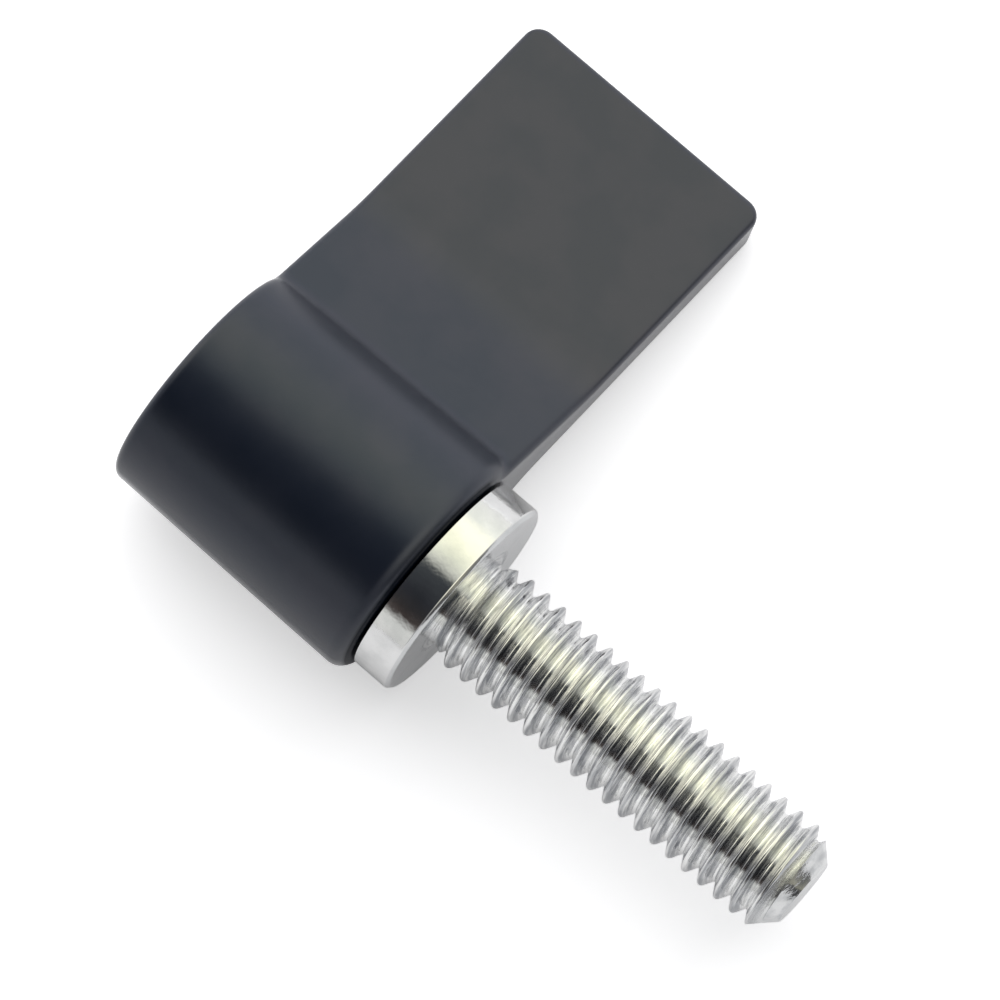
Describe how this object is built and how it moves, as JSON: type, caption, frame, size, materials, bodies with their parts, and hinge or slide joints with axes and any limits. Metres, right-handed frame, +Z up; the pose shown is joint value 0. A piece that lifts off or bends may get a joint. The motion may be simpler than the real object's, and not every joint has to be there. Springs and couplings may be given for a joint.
{
  "type": "thumb screw",
  "caption": "Thumb screw with a one-sided cast lever handle, a round collar and a threaded stud for clamping by hand.",
  "frame": {"origin": "centre of the collar's bearing face, on the stud's axis", "axes": "+X along the stud to its tip, +Z up from the surface that the screw lies on, +Y to the side where the blade drops"},
  "size_m": [0.0384, 0.0314, 0.0128],
  "materials": {
    "handle": "matte black coat on a zinc casting",
    "stud": "bright plated steel"
  },
  "bodies": {
    "root": {"lever_handle": "handle", "threaded_stud": "stud"}
  },
  "joints": []
}
